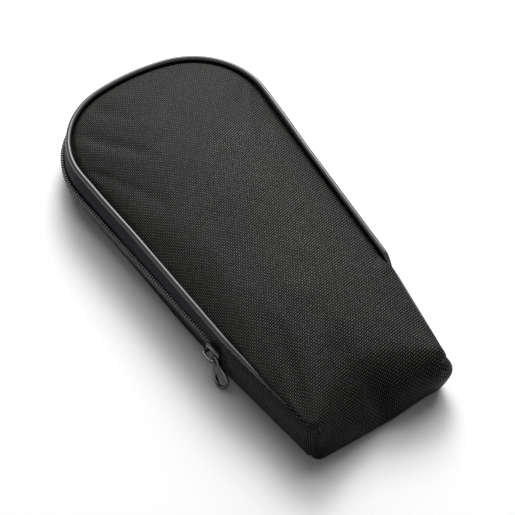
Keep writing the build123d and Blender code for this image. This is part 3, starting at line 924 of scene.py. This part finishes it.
# %% Coils
coil_pitch, wire, coil_reach, coil_depth = 1.5, 0.31, 3.0, 1.9
turn_steps, turn_sides = 14, 6
chain_drop, chain_lift = 0.5, 0.3
halves = (("upper", 1), ("lower", -1))
middle, reach = (coil_reach - 0.2) / 2, (coil_reach + 0.2) / 2 - wire
coil_line = seam_line(bulge=head_bulge + coil_depth / 2 + chain_lift, low=knee_y, step=0.5)
coil_path = at_height(coil_line, chain_height - chain_drop)
chains = {}
for half, sign in halves:
    loop = [(0.18 * sign * sin(a), (coil_depth / 2 - wire) * squared(sin(a), 0.6),
             sign * (middle + reach * squared(cos(a), 0.6))) for a in angles_round(turn_steps)]
    points, faces = tube_ring(loop, wire, turn_sides)
    turn = motif(f"{half}_turn", points, faces if sign > 0 else turned(faces))
    chains[half] = set_along(f"{half}_coil_turns", coil_path, turn, coil_pitch, monofilament, 0.02)
    print(half, "coil", len(chains[half].data.polygons) // (turn_steps * turn_sides), "turns")

# %% Filler cords
cord_in, cord_half_depth, cord_half_height, cord_offset = 0.9, 1.05, 1.3, 1.45
cords = {}
for half, sign in halves:
    rows = []
    for a in angles_round(10):
        bulge = head_bulge + cord_in + cord_half_depth * squared(cos(a), 0.5)
        line = resample(seam_line(bulge=bulge, low=knee_y, step=1.5), 240)
        height = chain_height - chain_drop + sign * cord_offset + cord_half_height * squared(sin(a), 0.5)
        rows.append(at_height(line, height))
    cords[half] = join(f"{half}_coil_cord", [tube("cord", np.swapaxes(rows, 0, 1), cord_and_gap_shade)])
for zip_parts in (cords, chains):
    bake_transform(zip_parts["upper"])
    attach(zip_parts["lower"], "case")
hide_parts("upper_coil_flap", "upper_coil_left_end", "upper_coil_right_end")
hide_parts("lower_coil")
print("filler cords", [cord.name for cord in cords.values()])

# %% [markdown]
# ## The slider and its tab
# The slider is die-cast zinc with a dark, glossy plating: two plates on a post, flanges that hold the
# coils, and an arched bridge that holds the pull tab. The edges of the casting are rounded, and they catch
# the light. Flat curves with holes and a bevel give such plates, and each is made a mesh before it is put
# in its place.

# %% Material: black nickel plate on zinc
plated, tree, shader = new_material("black_nickel_plate")
place = add(tree, "ShaderNodeTexCoord").outputs["Object"]
handling = add(tree, "ShaderNodeTexNoise", {"Vector": place, "Scale": 420.0, "Detail": 4.0})
rub = add(tree, "ShaderNodeMapRange", {0: handling, 1: 0.35, 2: 0.7, 3: 0.10, 4: 0.22})
shade = add(tree, "ShaderNodeMix", {0: handling, 6: linear("#313132"), 7: linear("#727273")},
            data_type="RGBA")
bump = add(tree, "ShaderNodeBump", {"Height": handling, "Distance": 0.05 * MM, "Strength": 0.5})
give(tree, shader, {"Base Color": shade.outputs[2], "Roughness": rub, "Normal": bump, "Metallic": 1.0})

# %% Plates with rounded edges
slider_y, plate_low, plate_top = -46.5, coil_depth + 0.3, coil_depth + 1.3
chain_up = Vector((-0.0843880, 0.9964330, 0))
chain_out = Vector((-0.9964330, -0.0843880, 0))
zip_end = Vector((-knee_half_width, knee_y, chain_height))
slider_place = zip_end + chain_up * ((slider_y - knee_y) / chain_up.y)
slider_centre = slider_place + Vector((0, 0, -chain_drop)) + chain_out * chain_lift
slider_axes = Matrix((-chain_up, (0, 0, 1), chain_out)).transposed().to_4x4()
slider_frame = Matrix.Translation(slider_centre) @ slider_axes


def plate(name, outlines, low, high, bevel, frame, bend=None):
    """A flat plate with rounded edges, in a frame, from closed outlines in mm. The later ones are holes."""
    curve = bpy.data.curves.new(name, "CURVE")
    curve.dimensions, curve.fill_mode = "2D", "BOTH"
    curve.extrude = (high - low) / 2 - bevel
    curve.bevel_depth, curve.bevel_resolution = bevel, 3
    curve.offset = -bevel
    for outline in outlines:
        spline = curve.splines.new("POLY")
        spline.points.add(len(outline) - 1)
        for point, (x, y) in zip(spline.points, outline):
            point.co = (x, y, 0, 1)
        spline.use_cyclic_u = True
    flat = put(name, curve)
    mesh = bpy.data.meshes.new_from_object(flat.evaluated_get(bpy.context.evaluated_depsgraph_get()))
    bpy.data.objects.remove(flat)
    mesh.transform(Matrix.Translation((0, 0, (low + high) / 2)))
    if bend is not None:
        for vertex in mesh.vertices:
            vertex.co = bend(vertex.co)
    mesh.transform(Matrix.Scale(MM, 4) @ frame)
    mesh.name = name
    mesh.materials.clear()
    mesh.materials.append(plated)
    return put(name, mesh)


def rounded(points, radius, steps=6):
    """A closed outline with every corner rounded."""
    points = [np.array(p, float) for p in points]
    out = []
    for before, corner, after in zip(points[-1:] + points[:-1], points, points[1:] + points[:1]):
        a = corner + (before - corner) / np.linalg.norm(before - corner) * radius
        b = corner + (after - corner) / np.linalg.norm(after - corner) * radius
        for t in np.linspace(0, 1, steps):
            out.append(tuple((1 - t) ** 2 * a + 2 * t * (1 - t) * corner + t * t * b))
    return out


def oval(length, width, x):
    """A slot's outline, length along x."""
    half = (length - width) / 2
    return [(x + width / 2 * cos(a) + (half if cos(a) > 0 else -half), width / 2 * sin(a))
            for a in angles_round(32)]


print("slider at", [round(c, 2) for c in slider_place], "mm")

# %% Slider body
shield = [(-5.0, -3.2), (-1.0, -3.5), (1.6, -4.2), (5.0, -4.2), (4.4, -0.7)]
shield = rounded(shield + [(x, -y) for x, y in shield[::-1]], 0.62)
outer_plate = plate("outer_plate", [shield], plate_low, plate_top, 0.35, slider_frame)
inner_plate = plate("inner_plate", [shield], -tape - 1.2, -tape - 0.3, 0.3, slider_frame)
flange_shape = [(-4.7, 3.35), (0.6, 3.35), (4.6, 3.6), (4.6, 4.15), (1.6, 4.15), (-1.0, 4.05), (-4.7, 3.95)]
flanges = []
for side in (-1, 1):
    bar = rounded([(x, side * y) for x, y in flange_shape], 0.12, 3)[::side]
    flanges.append(plate("flange", [bar], 0.3, plate_low + 0.4, 0.08, slider_frame))
post = plate("post", [oval(3.1, 0.7, 2.2)], -tape - 0.5, plate_low + 0.3, 0.05, slider_frame)
slider_casting = join("slider_casting", [outer_plate, inner_plate, *flanges, post])

# %% Bridge
arch_steps = 33
arch = []
for t in np.linspace(0, 1, arch_steps):
    x = -cos(pi * t)
    arch.append((-0.5 + 3.3 * squared(x, 0.6), plate_top - 0.5 + 3.1 * sin(pi * t) ** 0.4))
section = [(0.75 * squared(cos(a), 0.6), 0.9 * squared(sin(a), 0.5)) for a in angles_round(14)]
arch_rings = []
for i, (x, z) in enumerate(arch):
    before, after = np.array(arch[max(0, i - 1)]), np.array(arch[min(arch_steps - 1, i + 1)])
    ahead = (after - before) / np.linalg.norm(after - before)
    arch_rings.append([(x - ahead[1] * s, w, z + ahead[0] * s) for s, w in section])
arch_rings = [[slider_frame @ Vector(p) for p in ring] for ring in arch_rings]
slider_arch = join("slider_arch", [tube("arch", arch_rings, plated)])

# %% Pull tab
hang = radians(51)
tab_ahead = -chain_up * cos(hang) - Vector((0, 0, 1)) * sin(hang)
tab_pivot = slider_place - chain_up * 3.1 + chain_out * (plate_top + 0.3) + Vector((0, 0, 0.5))
tab_axes = Matrix((tab_ahead, chain_out.cross(tab_ahead), chain_out)).transposed().to_4x4()
tab_frame = Matrix.Translation(tab_pivot) @ tab_axes
tongue = [(-1.9, 0.0), (-1.5, 1.6), (0.0, 2.5), (2.0, 2.6), (4.4, 2.9), (6.4, 3.5), (9.2, 3.8), (12.2, 3.6),
          (14.1, 2.5), (14.9, 1.0)]
tongue = tongue + [(x, -y) for x, y in tongue[:0:-1]]
tongue = rounded(tongue, 0.45, 4)[::-1]


def twisted(p):
    """The tab leans and turns a little, as loose tabs do."""
    lean, middle = 0.06, 0.5
    p = Vector((p.x, p.y - lean * max(0.0, p.x), p.z))
    share = float(smoothstep((p.x - 1.5) / 5.0))
    turn, z = radians(-30) * share, p.z - middle
    across = p.y * cos(turn) - z * sin(turn)
    out = middle + p.y * sin(turn) + z * cos(turn) + 0.9 * share
    return Vector((p.x, across, out))


eye, grip_hole = oval(3.4, 2.3, 0.8)[::-1], oval(7.2, 4.5, 10.3)[::-1]
pull = join("zip_pull", [plate("pull", [tongue, eye, grip_hole], -0.1, 1.2, 0.25, tab_frame, twisted)])
for piece, body, node in ((slider_casting, "slider", "slider_body"), (slider_arch, "slider", "slider_bridge"),
                          (pull, "tab", "pull_tab")):
    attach(piece, body)
    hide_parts(node)
    print(piece.name, len(piece.data.polygons), "faces")

# %% [markdown]
# ## Inside the case
# Inside, each seam's raw edges are bound with a folded tape, and the gussets have a lining. The photograph
# does not show them, but the opened case does.

# %% Bindings
def bound_edge(name, line, low, high, wide):
    """A tape folded over a raw edge: a rounded flat tube, wide inwards from just inside the wall."""
    middle, half, sides = (low + high) / 2, (high - low) / 2, 18
    rows = []
    for a in angles_round(sides):
        inward = 1.05 + wide / 2 - wide / 2 * squared(cos(a), 0.35)
        z = middle + half * squared(sin(a), 0.5)
        rows.append(at_height(inset_line(line, inward), z))
    flat = np.array([(length, i * 0.8) for length in lengths_along(line) for i in range(sides)])
    return join(name, [tube(name, np.swapaxes(rows, 0, 1), grosgrain, flat)])


front_binding = bound_edge("front_seam_binding", seam_line(low=-104, step=2.0), 19.6, 21.3, 5.5)
back_binding = bound_edge("back_seam_binding", seam_line(low=-107, step=2.0), 4.7, 6.3, 5.5)
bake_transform(front_binding)
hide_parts("front_binding_flap", "front_binding_left", "front_binding_right")
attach(back_binding, "case")
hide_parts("back_binding")
for piece in (front_binding, back_binding):
    print(piece.name, len(piece.data.polygons), "faces")

# %% Stitches
stitch_rings = []
for x, thickness in ((-1.045, 0.08), (-0.665, 0.2), (0.665, 0.2), (1.045, 0.08)):
    stitch_rings.append([(x, thickness * sin(a), thickness * cos(a)) for a in angles_round(6)])
stitch_faces = capped(stitch_rings)
stitch = motif("stitch", np.reshape(stitch_rings, (-1, 3)), stitch_faces)
stitches = {}
for name, low, height in (("front_seam_stitches", -103, 19.5), ("back_seam_stitches", -106, 6.35)):
    path = at_height(inset_line(seam_line(low=low, step=1.0), 5.2), height)
    stitches[name] = set_along(name, path, stitch, 3.2, thread, 0.05)
    print(name, len(stitches[name].data.polygons) // len(stitch_faces), "stitches")
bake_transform(stitches["front_seam_stitches"])
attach(stitches["back_seam_stitches"], "case")

# %% Gusset linings
liner_heights = np.linspace(19.5, 6.3, 8)
beside_foot = RIGHT[(RIGHT[:, 1] < knee_y + 1.0) & (RIGHT[:, 1] > -107)]
liner_line = inset_line(resample(beside_foot, 40), 1.1)
for side, name in ((-1, "left"), (1, "right")):
    rows = [at_height(liner_line * (side, 1), z) for z in liner_heights]
    faces = strip(rows) if side > 0 else turned(strip(rows))
    flat = np.array([(i, z) for z in liner_heights for i in np.linspace(0, 53, 40)])
    liner = piece_of(f"{name}_gusset_taffeta", np.vstack(rows), faces, flat, taffeta)
    thicken(liner, lining)
    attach(liner, "case")
    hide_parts(f"{name}_gusset_lining")
print("inside pieces made")
